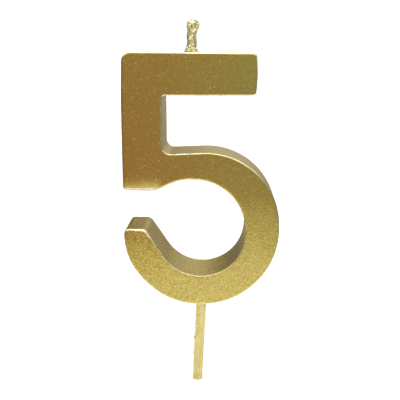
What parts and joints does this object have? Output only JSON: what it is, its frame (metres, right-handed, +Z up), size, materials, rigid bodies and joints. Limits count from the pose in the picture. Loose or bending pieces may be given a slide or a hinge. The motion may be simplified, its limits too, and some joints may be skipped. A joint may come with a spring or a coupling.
{
  "type": "number birthday candle",
  "caption": "Metallic gold numeral five candle for a cake, dipped wax body with a coated braided wick on top and a straight pick below",
  "frame": {"origin": "on the pick's axis at the numeral's underside, halfway through the numeral's thickness", "axes": "+X to the numeral's right as it reads, +Y from its front face to its back face, +Z up from pick to wick"},
  "size_m": [0.043, 0.0164, 0.1055],
  "materials": {
    "core_wax": "soft translucent paraffin wax, off-white",
    "gold_dip": "satin metallic gold wax with fine grain and sparse flakes",
    "cotton": "waxed cotton strand",
    "gold_crust": "lumpy bright metallic gold wax over a braid",
    "pick_wood": "plain fine-grained birch, unvarnished",
    "gold_film": "thin pale gold film, matte, with small drips"
  },
  "bodies": {
    "root": {"wax_core": "core_wax", "gold_coat": "gold_dip", "wick_ply_a": "cotton", "wick_ply_b": "cotton", "wick_ply_c": "cotton", "wick_coat": "gold_crust", "pick": "pick_wood", "pick_coat": "gold_film"}
  },
  "joints": []
}
